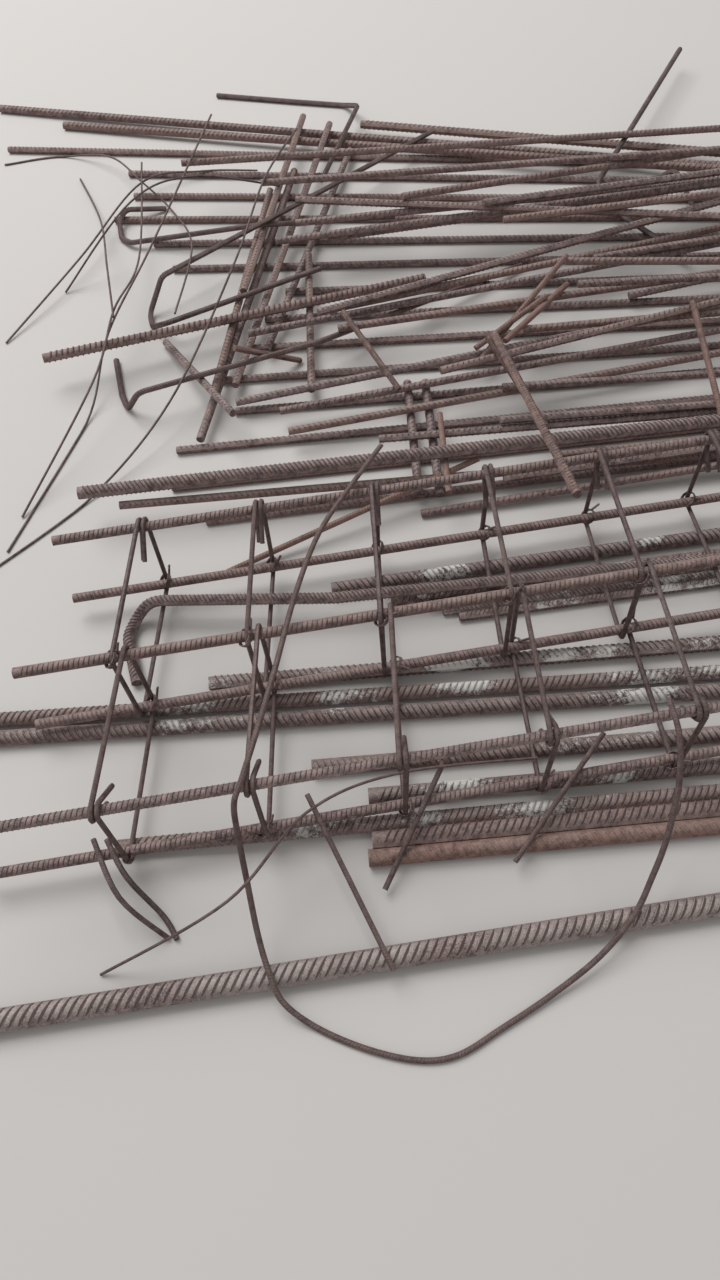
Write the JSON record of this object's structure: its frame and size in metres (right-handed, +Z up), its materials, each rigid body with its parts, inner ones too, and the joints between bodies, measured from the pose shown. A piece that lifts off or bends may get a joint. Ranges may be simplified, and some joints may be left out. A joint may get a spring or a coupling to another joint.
{
  "type": "rebar bundle",
  "caption": "Tied reinforcing bar cage lying on heavy ribbed bars, with a heap of long, short and hooked loose bars spread behind it and one long bent rod laid over.",
  "frame": {"origin": "middle of the whole heap, on the floor that it lies on", "axes": "+X along the cage bars, from their near ends to the long ends; +Y from the cage towards the heap behind it; +Z up"},
  "size_m": [4.3292, 2.5524, 0.2479],
  "materials": {
    "rusty_steel": "rusty mill surface with grey cement dust",
    "red_rusty_steel": "redder flaking rust",
    "tie_wire": "dull annealed wire"
  },
  "bodies": {
    "root": {"back_heavy_bar": "rusty_steel", "bent_heavy_bar": "rusty_steel", "big_ribbed_bar": "rusty_steel", "cage_bars": "rusty_steel", "cross_rods": "rusty_steel", "foreground_bar": "rusty_steel", "front_rods": "rusty_steel", "front_stirrup_01": "rusty_steel", "front_stirrup_02": "rusty_steel", "front_stirrup_03": "rusty_steel", "front_stirrup_04": "rusty_steel", "front_stirrup_05": "rusty_steel", "front_stirrup_06": "rusty_steel", "front_stirrup_07": "rusty_steel", "front_stirrup_08": "rusty_steel", "front_stirrup_09": "rusty_steel", "front_stirrup_10": "rusty_steel", "front_stirrup_11": "rusty_steel", "front_stirrup_12": "rusty_steel", "front_stirrup_13": "rusty_steel", "front_stirrup_14": "rusty_steel", "front_wire": "rusty_steel", "heap_floor_bars": "rusty_steel", "heap_top_bars": "rusty_steel", "heavy_bars": "rusty_steel", "hooked_bar_1": "rusty_steel", "hooked_bar_2": "rusty_steel", "hooked_bar_3": "rusty_steel", "hooked_bar_4": "rusty_steel", "hooked_bar_5": "rusty_steel", "hooked_bar_6": "rusty_steel", "leaning_rod": "red_rusty_steel", "long_bent_rod": "rusty_steel", "loose_wire_1": "rusty_steel", "loose_wire_2": "rusty_steel", "loose_wire_3": "rusty_steel", "loose_wire_4": "rusty_steel", "loose_wire_5": "rusty_steel", "loose_wire_6": "rusty_steel", "loose_wire_7": "rusty_steel", "rear_stirrup_01": "rusty_steel", "rear_stirrup_02": "rusty_steel", "rear_stirrup_03": "rusty_steel", "rear_stirrup_04": "rusty_steel", "rear_stirrup_05": "rusty_steel", "rear_stirrup_06": "rusty_steel", "rear_stirrup_07": "rusty_steel", "rear_stirrup_08": "rusty_steel", "rear_stirrup_09": "rusty_steel", "rear_stirrup_10": "rusty_steel", "rear_stirrup_11": "rusty_steel", "rear_stirrup_12": "rusty_steel", "rear_stirrup_13": "rusty_steel", "rear_stirrup_14": "rusty_steel", "red_heavy_bar": "red_rusty_steel", "short_rods": "rusty_steel", "side_bars": "rusty_steel", "thick_offcut": "rusty_steel", "tie_wires": "tie_wire", "top_long_bars": "rusty_steel"}
  },
  "joints": []
}
